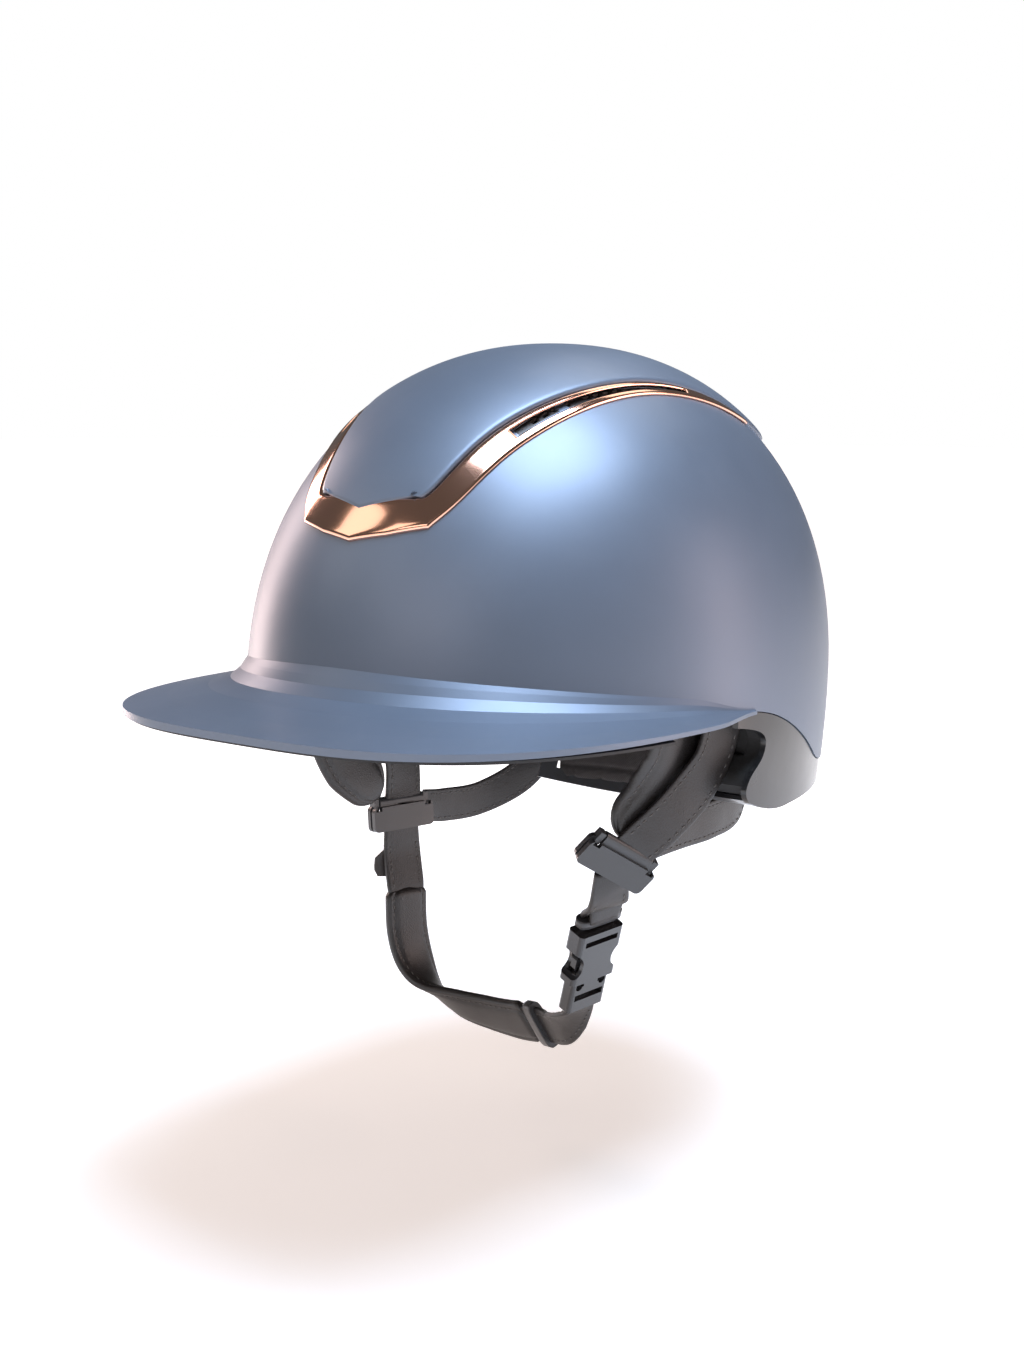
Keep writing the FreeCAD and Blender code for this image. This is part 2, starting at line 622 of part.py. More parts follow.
def make_guides():
    """A loop on each side of the liner that the band slides through."""
    inner = RING_RADIUS - BAND_WALL / 2 - SLIDE_GAP
    outer = RING_RADIUS + BAND_WALL / 2 + SLIDE_GAP
    half = BAND_HEIGHT / 2 + SLIDE_GAP
    loop = arc_wall(inner - 1.4, outer + 12, -half - 1.6, half + 1.6, -5, 5)
    loop = loop.cut(arc_wall(inner, outer, -half, half, -6, 6))
    loop = tilted(loop).common(cavity_dome(REST_GAP))
    keep("band_guide_left", largest(loop))
    keep("band_guide_right", mirrored(largest(loop)))
    hanger = strip([((36, 85.0, -28), (1, -0.3, 0), 1.0), ((36.5, 92, -14), (1, -0.3, 0), 1.0),
                    ((37, 99.5, 2), (1, -0.3, 0), 1.0)], 13.0, 1.4, 6)
    keep("cradle_hanger_left", hanger)
    keep("cradle_hanger_right", mirrored(hanger))


# ---------- harness ----------
LEFT_DIVIDER = V(75, -53, -58)
RIGHT_DIVIDER = V(-75, -2, -70)
MOUTH = V(46, -28.5, -114)
OUT_DIR = unit(MOUTH - RIGHT_DIVIDER)
DOWN_DIR = unit(V(-0.355, 0.177, -0.92) - OUT_DIR * OUT_DIR.dot(V(-0.355, 0.177, -0.92)))
ACROSS_DIR = unit(DOWN_DIR.cross(OUT_DIR)) * -1


LEFT_FRONT = [((99.5, -14, 14), (0.2, 1, 0), 1), ((99.5, -15.5, 0), (0.2, 1, 0), 1),
              ((98.5, -17, -12), (0.25, 1, 0), 1), ((96.5, -20.5, -22), (0.25, 1, -0.2), 1),
              ((93, -28, -32), (0.3, 0.8, -0.6), 1), ((88.5, -38, -41.5), (0.3, 0.7, -0.7), 0.95),
              ((83, -46.5, -49.5), (0.4, 0.7, -0.7), 0.85)]
LEFT_FLAP = [((89, -27, 7), (0.1, 1, 0), 1), ((88.5, -27.5, -8), (0.1, 1, 0), 1),
             ((86, -31, -24), (0.2, 1, -0.2), 1), ((82.5, -37.5, -35), (0.3, 0.8, -0.6), 0.9),
             ((78, -45, -43), (0.3, 0.7, -0.7), 0.7)]
LEFT_REAR = [((71.8, 55, -18), (0.3, -0.95, 0.3), 1), ((74, 49.5, -36), (0.3, -0.8, 0.6), 1),
             ((77.5, 36, -50), (0.1, -0.5, 1), 1), ((80.5, 11, -51.5), (0, 0, 1), 1),
             ((79.5, -13, -51.5), (0, 0, 1), 1), ((78, -33, -53), (0, -0.1, 1), 0.9)]
RIGHT_FRONT = [((-97, -8, 14), (-0.2, 1, 0), 1), ((-95, -8, -2), (-0.2, 1, 0), 1),
               ((-87, -7, -15), (-0.3, 1, 0), 1), ((-79, -5, -29), (-0.2, 1, 0), 1),
               ((-76.5, 0, -44), (0.1, 1, 0), 1), ((-75.8, 0.5, -58.5), (0.24, 0.97, 0), 0.9)]
RIGHT_FLAP = [((-88, -38, 8), (-0.1, 1, 0), 1), ((-86, -37.5, -8), (0, 1, 0), 1),
              ((-84, -37, -24), (0.05, 1, 0), 1), ((-83, -34, -42), (0.1, 1, 0), 0.95),
              ((-82.5, -24, -58), (0.15, 1, -0.3), 0.5)]
RIGHT_REAR = [((-53.5, 83, -26), (-0.7, -0.7, 0), 1), ((-55, 82, -44), (-0.7, -0.6, 0.2), 1),
              ((-61.5, 74, -61), (-0.3, -0.3, 0.8), 1), ((-72, 54, -71), (0, 0, 1), 1),
              ((-77.5, 32, -71.5), (0, 0, 1), 1), ((-78.5, 17, -69), (0, 0, 1), 0.9)]


def strap_pockets():
    """Room for the straps where they run up into the liner."""
    return [block((96.0, -28, -20), (102.8, -2, 18)), block((84.5, -48, -20), (93.2, -7, 11)),
            block((-101.5, -21, -36), (-76, 6.5, -1)), block((-100.5, -21, -2), (-92.5, 5, 18)),
            block((-92.6, -57, -20), (-80, -17, 11))]


def make_upper_straps():
    keep("strap_front_left", strip(LEFT_FRONT, WEBBING_WIDTH, WEBBING_WALL))
    keep("cheek_flap_left", strip(LEFT_FLAP, LEFT_FLAP_WIDTH, FLAP_WALL))
    keep("strap_rear_left", strip(LEFT_REAR, REAR_STRAP_WIDTH, WEBBING_WALL))
    keep("strap_front_right", strip(RIGHT_FRONT, WEBBING_WIDTH, WEBBING_WALL))
    keep("cheek_flap_right", strip(RIGHT_FLAP, RIGHT_FLAP_WIDTH, FLAP_WALL))
    keep("strap_rear_right", strip(RIGHT_REAR, REAR_STRAP_WIDTH, WEBBING_WALL))


def make_divider(name, origin, across, along):
    """Strap divider: a ladder base and a hinged cover that clamps the webbing."""
    half = DIVIDER_WIDTH / 2
    base = block((-half, -6, -3.2), (half, 6, -1.0))
    base = base.makeFillet(2.5, [edge for edge in base.Edges if abs(edge.tangentAt(0).z) > 0.9])
    for low in (-4.0, 1.4):
        base = base.cut(block((-half + 5, low, -5), (half - 5, low + 2.6, 2)))
    pin = Part.makeCylinder(1.1, DIVIDER_WIDTH - 8, V(-half + 4, 7.4, -1.0), V(1, 0, 0))
    ears = [block((-half + 1.5, 4.0, -3.2), (-half + 4.0, 8.9, 0.6)),
            block((half - 4.0, 4.0, -3.2), (half - 1.5, 8.9, 0.6))]
    base = base.fuse(ears + [pin.fuse(Part.makeCylinder(1.1, DIVIDER_WIDTH - 5,
                                                        V(-half + 2.5, 7.4, -1.0), V(1, 0, 0)))])
    cover = block((-half, -6, 0.2), (half, 5.2, 2.4))
    cover = cover.makeFillet(2.2, [edge for edge in cover.Edges if abs(edge.tangentAt(0).z) > 0.9])
    barrel = Part.makeCylinder(2.2, DIVIDER_WIDTH - 9, V(-half + 4.5, 7.4, -1.0), V(1, 0, 0))
    web = block((-half + 4.5, 4.4, 0.3), (half - 4.5, 7.4, 1.2))
    for low in (-half + 1.1, half - 4.4):
        cover = cover.cut(block((low, 3.4, -1), (low + 3.3, 10, 3)))
    cover = cover.fuse([barrel, web])
    cover = cover.cut(Part.makeCylinder(1.1 + PIN_GAP, 60, V(-30, 7.4, -1.0), V(1, 0, 0)))
    base = base.cut(Part.makeCylinder(2.2 + SLIDE_GAP, DIVIDER_WIDTH - 8.4,
                                      V(-half + 4.2, 7.4, -1.0), V(1, 0, 0))
                    .cut(Part.makeCylinder(1.1, 60, V(-30, 7.4, -1.0), V(1, 0, 0))))
    keep(name + "_base", placed(base.removeSplitter(), origin, across, along))
    keep(name + "_latch", placed(cover.removeSplitter(), origin, across, along))


def in_buckle(shape):
    """From buckle axes (X across, Y up the strap, Z outward) to the world."""
    return placed(shape, MOUTH, ACROSS_DIR, DOWN_DIR * -1)


def make_buckle():
    half = BUCKLE_WIDTH / 2
    thick = BUCKLE_WALL / 2
    body = block((-half, 0, -thick), (half, BUCKLE_LENGTH, thick))
    body = body.makeFillet(2.0, [edge for edge in body.Edges if abs(edge.tangentAt(0).y) > 0.9])
    pocket = block((-half + 1.9, -1, -2.7), (half - 1.9, TONGUE_LENGTH + 2, 2.7))
    slot = block((-half + 3, BUCKLE_LENGTH - 5.5, -1.9), (half - 3, BUCKLE_LENGTH - 3, 20))
    body = body.cut(pocket).cut(slot)
    for sign in (-1, 1):
        window = Part.makeCylinder(6.5, 30, V(sign * (half + 2.5), 9, -15), V(0, 0, 1))
        body = body.cut(window)
    keep("buckle_socket", in_buckle(body))
    base = block((-half + 2, -15, -3.4), (half - 2, -0.4, 3.4))
    base = base.makeFillet(1.6, [edge for edge in base.Edges if abs(edge.tangentAt(0).y) > 0.9])
    base = base.fuse(block((-1.8, -1, -1.3), (1.8, TONGUE_LENGTH - 1, 1.3)))
    base = base.cut(block((-half + 4, -9.5, -5), (half - 4, -6.5, 5)))
    prong_x = half - 5.4
    for sign in (-1, 1):
        socket = Part.makeCylinder(1.6 + PIN_GAP, 20, V(sign * prong_x, -2.6, -10), V(0, 0, 1))
        x_in, x_out = sign * (prong_x - 2.4), sign * (prong_x + 1.6)
        mouth = block((min(x_in, x_out), -2.6, -10), (max(x_in, x_out), 1, 10))
        base = base.cut(socket.fuse(mouth))
    keep("buckle_plug", in_buckle(largest(base)))
    for name, sign in (("buckle_prong_front", -1), ("buckle_prong_rear", 1)):
        root = Part.makeCylinder(1.6, 3.0, V(sign * prong_x, -2.6, -1.5), V(0, 0, 1))
        x_in, x_out = sign * (prong_x - 0.9), sign * (prong_x + 1.1)
        arm = block((min(x_in, x_out), -2.0, -1.5), (max(x_in, x_out), TONGUE_LENGTH, 1.5))
        thumb = Part.makeCylinder(4.0, 3.0, V(sign * (prong_x - 0.6), 8.5, -1.5), V(0, 0, 1))
        keep_box = block((min(x_in, sign * (half - 2.6)), 4, -1.5),
                         (max(x_in, sign * (half - 2.6)), 13, 1.5))
        keep(name, in_buckle(largest(root.fuse([arm, thumb.common(keep_box)]))))


CHIN_LEFT = [((69.5, -48, -71.5), (0.3, 0.95, 0), 0.5), ((65, -43, -78), (0.3, 0.95, 0), 1)]
CHIN_RIGHT = [((-74.8, -2.4, -79.5), (0.24, 0.97, 0), 0.5), ((-74.4, -2.4, -88), (0.24, 0.97, 0), 1),
              ((-72, -3, -101), (0.24, 0.97, 0), 1)]
SLEEVE = [((-71.8, -3, -103), (0.24, 0.97, 0), 1), ((-70, -4, -123), (0.24, 0.97, -0.1), 1),
          ((-65.5, -3, -138), (0.2, 0.9, -0.3), 1), ((-57, -1, -148.5), (0.15, 0.8, -0.55), 1),
          ((-44, 2, -154.5), (0.05, 0.6, -0.75), 1), ((-28, 3.5, -156), (0, 0.5, -0.85), 1),
          ((-12, 1.5, -155), (0, 0.45, -0.89), 1), ((0, -1.5, -152.5), (0, 0.45, -0.89), 1)]
CHIN_LOW = [((1.0, -2, -152.3), (0, 0.45, -0.89), 1), ((12, -7, -150), (0, 0.45, -0.89), 1),
            ((22, -13.5, -146.5), (0.1, 0.55, -0.85), 1), ((30, -19, -140), (0.2, 0.75, -0.6), 1)]


def make_chin_straps():
    turn = MOUTH - DOWN_DIR * (BUCKLE_LENGTH + 8.0)
    top = MOUTH - DOWN_DIR * (BUCKLE_LENGTH + 2.0)
    route = CHIN_LEFT + [(tuple(turn), tuple(ACROSS_DIR), 1), (tuple(top), tuple(ACROSS_DIR), 0.9)]
    keep("chin_strap_left", strip(route, WEBBING_WIDTH * 0.9, WEBBING_WALL, 8))
    keep("chin_strap_right", strip(CHIN_RIGHT, WEBBING_WIDTH, WEBBING_WALL, 8))
    keep("chin_sleeve", strip(SLEEVE, SLEEVE_WIDTH, FLAP_WALL, 20))
    end = MOUTH + DOWN_DIR * 18.0
    route = CHIN_LOW + [(tuple(end), tuple(ACROSS_DIR), 0.8)]
    keep("chin_strap_low", strip(route, 18.0, WEBBING_WALL, 10))


def build():
    make_shell()
    make_trim()
    make_grilles()
    make_peak_lining()
    make_guard()
    make_liner()
    make_pads()
    make_cradle()
    keep("side_band_left", make_band(1))
    keep("side_band_right", make_band(-1))
    make_dial()
    make_guides()
    make_upper_straps()
    make_divider("divider_left", LEFT_DIVIDER, V(0.35, 0.75, -0.5), V(0.75, 0.25, 0.9))
    make_divider("divider_right", RIGHT_DIVIDER, V(0.24, 0.97, 0), V(-0.1, 0, 1))
    make_buckle()
    make_chin_straps()


os.makedirs("parts", exist_ok=True)
build()
for node, solid in PARTS.items():
    solid.exportStep("parts/" + node + ".step")
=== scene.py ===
import math

import bmesh
import bpy
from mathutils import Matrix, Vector


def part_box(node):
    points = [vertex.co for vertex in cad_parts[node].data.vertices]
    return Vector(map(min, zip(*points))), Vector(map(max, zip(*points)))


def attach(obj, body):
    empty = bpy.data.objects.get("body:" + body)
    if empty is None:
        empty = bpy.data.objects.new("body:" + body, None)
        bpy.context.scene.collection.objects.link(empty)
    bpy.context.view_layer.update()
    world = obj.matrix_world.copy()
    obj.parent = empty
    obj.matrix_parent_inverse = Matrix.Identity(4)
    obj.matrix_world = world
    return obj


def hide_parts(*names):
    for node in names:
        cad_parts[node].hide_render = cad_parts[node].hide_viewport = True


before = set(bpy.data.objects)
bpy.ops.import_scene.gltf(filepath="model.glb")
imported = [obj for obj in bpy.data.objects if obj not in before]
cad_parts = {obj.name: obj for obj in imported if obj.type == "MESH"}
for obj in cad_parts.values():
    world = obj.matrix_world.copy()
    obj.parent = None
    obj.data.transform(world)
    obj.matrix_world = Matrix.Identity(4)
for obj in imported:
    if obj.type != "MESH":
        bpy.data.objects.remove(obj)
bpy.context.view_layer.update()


# Outer shell and peak: one injection moulded cap with a satin metallic paint.
# The lining closes the underside of the peak. The paint is fine grained, with a
# little dust on its upper faces.
def value_group(name, inputs, outputs):
    group = bpy.data.node_groups.new(name, "ShaderNodeTree")
    for label, default in inputs:
        socket = group.interface.new_socket(name=label, in_out="INPUT", socket_type="NodeSocketFloat")
        socket.default_value = default
    for label in outputs:
        group.interface.new_socket(name=label, in_out="OUTPUT", socket_type="NodeSocketFloat")
    start = group.nodes.new("NodeGroupInput")
    end = group.nodes.new("NodeGroupOutput")
    return group, start, end


def joined(tree, kind, *links, **settings):
    node = tree.nodes.new(kind)
    for key, value in settings.items():
        setattr(node, key, value)
    for socket, source in links:
        if hasattr(source, "is_output"):
            tree.links.new(source, node.inputs[socket])
        else:
            node.inputs[socket].default_value = source
    return node


grain_group, grain_in, grain_out = value_group(
    "fine_grain", (("Scale", 900.0), ("Patch scale", 14.0)), ("Height", "Patches"))
grain_at = joined(grain_group, "ShaderNodeTexCoord")
grain_fine = joined(grain_group, "ShaderNodeTexNoise", ("Vector", grain_at.outputs["Object"]),
                    ("Scale", grain_in.outputs["Scale"]), ("Detail", 2.0), ("Roughness", 0.6))
grain_wide = joined(grain_group, "ShaderNodeTexNoise", ("Vector", grain_at.outputs["Object"]),
                    ("Scale", grain_in.outputs["Patch scale"]), ("Detail", 4.0), ("Roughness", 0.65))
grain_group.links.new(grain_fine.outputs["Fac"], grain_out.inputs["Height"])
grain_group.links.new(grain_wide.outputs["Fac"], grain_out.inputs["Patches"])

dust_group, dust_in, dust_out = value_group("dust", (("Amount", 0.3),), ("Mask",))
dust_at = joined(dust_group, "ShaderNodeTexCoord")
dust_face = joined(dust_group, "ShaderNodeNewGeometry")
dust_up = joined(dust_group, "ShaderNodeSeparateXYZ", (0, dust_face.outputs["Normal"]))
dust_speck = joined(dust_group, "ShaderNodeTexNoise", ("Vector", dust_at.outputs["Object"]),
                    ("Scale", 60.0), ("Detail", 6.0), ("Roughness", 0.75))
dust_spread = joined(dust_group, "ShaderNodeMapRange", ("Value", dust_speck.outputs["Fac"]),
                     ("From Min", 0.48), ("From Max", 0.75), ("To Min", 0.0), ("To Max", 1.0))
dust_lies = joined(dust_group, "ShaderNodeMath", (0, dust_up.outputs["Z"]),
                   (1, dust_spread.outputs["Result"]), operation="MULTIPLY", use_clamp=True)
dust_mask = joined(dust_group, "ShaderNodeMath", (0, dust_lies.outputs["Value"]),
                   (1, dust_in.outputs["Amount"]), operation="MULTIPLY", use_clamp=True)
dust_group.links.new(dust_mask.outputs["Value"], dust_out.inputs["Mask"])


def surface(name, colour, roughness, metallic=0.0, coat=0.0, grain=900.0, depth=0.02,
            uneven=0.12, tint=0.12, dusty=0.0, coat_roughness=0.08):
    material = bpy.data.materials.new(name)
    material.use_nodes = True
    tree = material.node_tree
    shader = tree.nodes["Principled BSDF"]
    shader.inputs["Metallic"].default_value = metallic
    shader.inputs["Coat Weight"].default_value = coat
    shader.inputs["Coat Roughness"].default_value = coat_roughness
    texture = tree.nodes.new("ShaderNodeGroup")
    texture.node_tree = grain_group
    texture.inputs["Scale"].default_value = grain
    texture.inputs["Patch scale"].default_value = 16.0
    darker = tuple(c * (1 - tint) for c in colour) + (1.0,)
    lighter = tuple(min(1.0, c * (1 + tint)) for c in colour) + (1.0,)
    shade = joined(tree, "ShaderNodeMix", ("Factor", texture.outputs["Patches"]),
                   (6, darker), (7, lighter), data_type="RGBA")
    last = shade.outputs[2]
    if dusty:
        dust = tree.nodes.new("ShaderNodeGroup")
        dust.node_tree = dust_group
        dust.inputs["Amount"].default_value = dusty
        dulled = joined(tree, "ShaderNodeMix", ("Factor", dust.outputs["Mask"]), (6, last),
                        (7, (0.42, 0.39, 0.36, 1.0)), data_type="RGBA")
        last = dulled.outputs[2]
    tree.links.new(last, shader.inputs["Base Color"])
    rough = joined(tree, "ShaderNodeMapRange", ("Value", texture.outputs["Patches"]),
                   ("From Min", 0.25), ("From Max", 0.75), ("To Min", roughness * (1 - uneven)),
                   ("To Max", min(1.0, roughness * (1 + uneven))))
    tree.links.new(rough.outputs["Result"], shader.inputs["Roughness"])
    bump = joined(tree, "ShaderNodeBump", ("Height", texture.outputs["Height"]),
                  ("Strength", 0.5), ("Distance", depth * 0.001))
    tree.links.new(bump.outputs["Normal"], shader.inputs["Normal"])
    return material


def dress(material, *names):
    for name in names:
        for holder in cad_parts[name].material_slots:
            holder.link = "OBJECT"
            holder.material = material


shell_paint = surface("satin_shell_paint", (0.150, 0.178, 0.232), 0.45, metallic=0.5, coat=0.12,
                      grain=1400.0, depth=0.015, uneven=0.08, tint=0.07, dusty=0.05,
                      coat_roughness=0.3)
dress(shell_paint, "outer_shell")
lining_plastic = surface("peak_lining_plastic", (0.018, 0.017, 0.018), 0.55, grain=1100.0, depth=0.05)
dress(lining_plastic, "peak_lining")


# Centre panel: a separate slightly raised moulding over the crown, in the same
# satin paint as the shell, clipped in from above and bordered by the trim.
half_width, half_length, dome_height = 113.2, 140.6, 137.6
squareness, lean, centre_y, widest_z = 2.154, 0.037, 6.7, 1.5


def on_dome(point, lift):
    spot = point - Vector((0, centre_y + lean * (point.z - widest_z), widest_z))
    girth = math.hypot(spot.x / half_width, spot.y / half_length)
    high = max(0.0, spot.z) / dome_height
    spot = spot / (girth ** squareness + high ** squareness) ** (1 / squareness)
    slope = Vector((spot.x / half_width ** 2, spot.y / half_length ** 2,
                    spot.z / dome_height ** 2)).normalized()
    return Vector((spot.x, spot.y + centre_y + lean * spot.z, spot.z + widest_z)) + slope * lift


def raised(plan):
    points = []
    for x, y in plan:
        height = 60.0
        for _ in range(8):
            back = y - centre_y - lean * (height - widest_z)
            girth = min(0.999, math.hypot(x / half_width, back / half_length))
            height = widest_z + dome_height * (1 - girth ** squareness) ** (1 / squareness)
        points.append(Vector((x, y, height)))
    return points


def along(points, share, straight=0):
    place = min(len(points) - 1.000001, max(0.0, share * (len(points) - 1)))
    index = int(place)
    t = place - index
    p1, p2 = points[index], points[index + 1]
    if index < straight:
        return p1.lerp(p2, t)
    p0 = points[index - 1] if index > straight else p1 * 2 - p2
    p3 = points[index + 2] if index + 2 < len(points) else p2 * 2 - p1
    return (p1 * 2 + (p2 - p0) * t + (p0 * 2 - p1 * 5 + p2 * 4 - p3) * t * t
            + (p1 * 3 - p0 - p2 * 3 + p3) * t ** 3) / 2


def piece_from(name, bm):
    mesh = bpy.data.meshes.new(name)
    bm.to_mesh(mesh)
    bm.free()
    for face in mesh.polygons:
        face.use_smooth = len(face.vertices) < 5
    piece = bpy.data.objects.new(name, mesh)
    bpy.context.scene.collection.objects.link(piece)
    return piece


def moulded(name, columns, rows, place, wall, gap=None):
    bm = bmesh.new()
    bmesh.ops.create_grid(bm, x_segments=columns, y_segments=rows, size=1.0)
    if gap:
        open_faces = [f for f in bm.faces if gap(f.calc_center_median().x, f.calc_center_median().y)]
        bmesh.ops.delete(bm, geom=open_faces, context="FACES")
    for vert in bm.verts:
        vert.co = place(vert.co.x, vert.co.y) / 1000
    bmesh.ops.recalc_face_normals(bm, faces=bm.faces[:])
    if sum(f.normal.z * f.calc_area() for f in bm.faces) < 0:
        bmesh.ops.reverse_faces(bm, faces=bm.faces[:])
    piece = piece_from(name, bm)
    solid = piece.modifiers.new("wall", "SOLIDIFY")
    solid.thickness = wall / 1000
    solid.offset = -1.0
    return piece


trim_inner = raised([(0, -110.3), (10.5, -108.6), (20.9, -106.6), (26.5, -102.7), (36.1, -75.8),
                     (48.6, -35.4), (57.6, 6), (66.6, 50)])
panel_side = trim_inner[2:] + raised([(63, 76), (45, 97)])


def on_panel(u, v):
    share = (v + 1) / 2
    right = along(panel_side, share)
    left = Vector((-right.x, right.y, right.z))
    point = left.lerp(right, (u + 1) / 2)
    nose = (1 - share) ** 14 * (1 - abs(u))
    tail = share ** 14 * (1 - u * u)
    point = point + Vector((0, -3.7 * nose + 11.0 * tail, -7.0 * nose - 4.0 * tail))
    rim = max(abs(u) ** 60, abs(v) ** 90)
    return on_dome(point, 2.0 - 2.0 * rim)


panel = moulded("centre_panel", 96, 150, on_panel, 1.6)
panel.data.materials.append(shell_paint)
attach(panel, "helmet")
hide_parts("top_panel")


# Frame trim: a polished rose gold plated strip round the panel that meets in a
# blunt V over the forehead, with a long vent slot in each side arm.
trim_metal = surface("polished_rose_gold", (0.90, 0.50, 0.36), 0.12, metallic=1.0, coat=0.6,
                     grain=240.0, depth=0.01, uneven=0.3, tint=0.05, coat_roughness=0.03)
trim_outer = raised([(0, -118.6), (15.2, -115.9), (30, -110.1), (37, -100.6), (45.9, -76.7),
                     (56.9, -33.9), (63, 0), (68.4, 52)])


def on_trim(u, v):
    outside = along(trim_outer, abs(u), 2)
    inside = along(trim_inner, abs(u), 2)
    point = inside.lerp(outside, (v + 1) / 2 * 1.03)
    point.x = math.copysign(point.x, u)
    return on_dome(point, 1.5 - 1.3 * abs(v) ** 10)


def vent_slot(u, v):
    return 0.575 < abs(u) < 0.885 and abs(v) < 0.42


trim = moulded("frame_trim_plate", 420, 24, on_trim, 1.4, vent_slot)
trim.data.materials.append(trim_metal)
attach(trim, "helmet")
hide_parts("frame_trim")
mesh_plastic = surface("vent_grille_plastic", (0.030, 0.024, 0.022), 0.42, grain=1200.0)
dress(mesh_plastic, "vent_grille_left", "vent_grille_right")


# Nape guard and edge trim: glossy black plastic round the back of the liner,
# snapped under the rim of the shell and notched for the ears.
guard_plastic = surface("glossy_guard_plastic", (0.012, 0.012, 0.013), 0.30, coat=0.35,
                        grain=700.0, depth=0.008, uneven=0.25, dusty=0.12)
dress(guard_plastic, "nape_guard", "liner_edge_trim")


# Impact liner: moulded expanded foam, black, with the pocked skin of fused beads.
# It is bonded inside the shell and carries the pads and the strap pockets.
liner_foam = surface("expanded_liner_foam", (0.022, 0.021, 0.021), 0.78, grain=380.0, depth=0.25,
                     uneven=0.1, tint=0.25)
dress(liner_foam, "impact_liner")


# Comfort pads: knitted fabric over soft foam, quilted, with a bound edge. They
# press on to hook patches inside the liner: brow, two sides, crown and nape.
def cushion(name, place, wall, wide_ribs, long_ribs, rib=0.0, power=7.0, cuts=34):
    bm = bmesh.new()
    bmesh.ops.create_cube(bm, size=2.0)
    bmesh.ops.subdivide_edges(bm, edges=bm.edges[:], cuts=cuts, use_grid_fill=True)
    for vert in bm.verts:
        spot = vert.co.copy()
        reach = (abs(spot.x) ** power + abs(spot.y) ** power + abs(spot.z) ** power) ** (1 / power)
        spot = spot / reach
        edge = max(abs(spot.x), abs(spot.y))
        soft = 1.0 - 0.55 * edge ** 6
        seam = 2 * min(abs((spot.x * wide_ribs) % 1.0 - 0.5), abs((spot.y * long_ribs) % 1.0 - 0.5))
        quilt = 1.0 - rib * math.exp(-(seam / 0.16) ** 2)
        raised = (spot.z + 1.0) / 2 * wall * soft * quilt
        point, inward = place(spot.x, spot.y)
        vert.co = (point + inward * raised) / 1000
    bmesh.ops.recalc_face_normals(bm, faces=bm.faces[:])
    return piece_from(name, bm)


cavity_half_width, cavity_half_length, cavity_height = 87, 108, 108


def cavity(angle, height, depth):
    lift = max(0.0, height - widest_z) / (cavity_height - depth)
    girth = (1 - min(1.0, lift) ** squareness) ** (1 / squareness)
    back = centre_y + lean * (height - widest_z)
    return Vector(((cavity_half_width - depth) * girth * math.cos(angle),
                   (cavity_half_length - depth) * girth * math.sin(angle) + back, height))


def on_wall(first, last, low, high):
    def place(u, v):
        angle = math.radians((first + last) / 2 + (last - first) / 2 * u)
        height = (low + high) / 2 + (high - low) / 2 * v
        base = cavity(angle, height, 0.4)
        inner = cavity(angle, height, 7.0)
        return base, (inner - base).normalized()
    return place


def on_crown(u, v):
    turn = math.pi * (u + 1)
    share = (v + 1) / 2
    wide, long = 18.0 + 30.0 * share, 18.0 + 46.0 * share
    x, y = wide * math.cos(turn), 4.3 + long * math.sin(turn)
    height = 90.0
    for _ in range(6):
        girth = math.hypot(x / 86.6, (y - 6.7 - 0.037 * (height - 1.5)) / 107.6)
        height = 1.5 + 107.6 * (1 - min(0.99, girth) ** 2.154) ** (1 / 2.154)
    base = Vector((x, y, height))
    return base, (Vector((0.0, 6.7, 18.0)) - base).normalized()


def fabric(name, colour, thread=520.0, depth=0.18):
    material = surface(name, colour, 0.86, grain=1500.0, depth=0.05, tint=0.2)
    tree = material.node_tree
    shader = tree.nodes["Principled BSDF"]
    at = joined(tree, "ShaderNodeTexCoord")
    rows = joined(tree, "ShaderNodeTexWave", ("Vector", at.outputs["Object"]), ("Scale", thread),
                  ("Distortion", 0.6), bands_direction="Z")
    loops = joined(tree, "ShaderNodeTexWave", ("Vector", at.outputs["Object"]), ("Scale", thread),
                   ("Distortion", 0.6), bands_direction="DIAGONAL")
    knit = joined(tree, "ShaderNodeMath", (0, rows.outputs["Fac"]), (1, loops.outputs["Fac"]),
                  operation="MULTIPLY")
    bump = joined(tree, "ShaderNodeBump", ("Height", knit.outputs["Value"]), ("Strength", 0.6),
                  ("Distance", depth * 0.001))
    tree.links.new(bump.outputs["Normal"], shader.inputs["Normal"])
    shader.inputs["Sheen Weight"].default_value = 0.25
    shader.inputs["Sheen Roughness"].default_value = 0.5
    return material


def covered(piece, body, material, slot_name, *nodes):
    piece.data.materials.append(material)
    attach(piece, body)
    if nodes:
        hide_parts(*nodes)
    return piece


pad_fabric = fabric("knitted_pad_fabric", (0.030, 0.024, 0.023))
brow = cushion("brow_pad_cover", on_wall(-142, -38, 3.5, 37.5), 6.2, 4.0, 1.0, rib=0.35)
covered(brow, "brow_pad", pad_fabric, "pad_fabric", "brow_pad")
side_left = cushion("side_pad_left_cover", on_wall(-17, 31, 4.5, 39.5), 6.2, 2.0, 1.0, rib=0.35)
covered(side_left, "side_pad_left", pad_fabric, "pad_fabric", "side_pad_left")
side_right = cushion("side_pad_right_cover", on_wall(149, 197, 4.5, 39.5), 6.2, 2.0, 1.0, rib=0.35)
covered(side_right, "side_pad_right", pad_fabric, "pad_fabric", "side_pad_right")
crown = cushion("crown_pad_cover", on_crown, 6.2, 5.0, 1.0, rib=0.4)
covered(crown, "crown_pad", pad_fabric, "pad_fabric", "crown_pad")


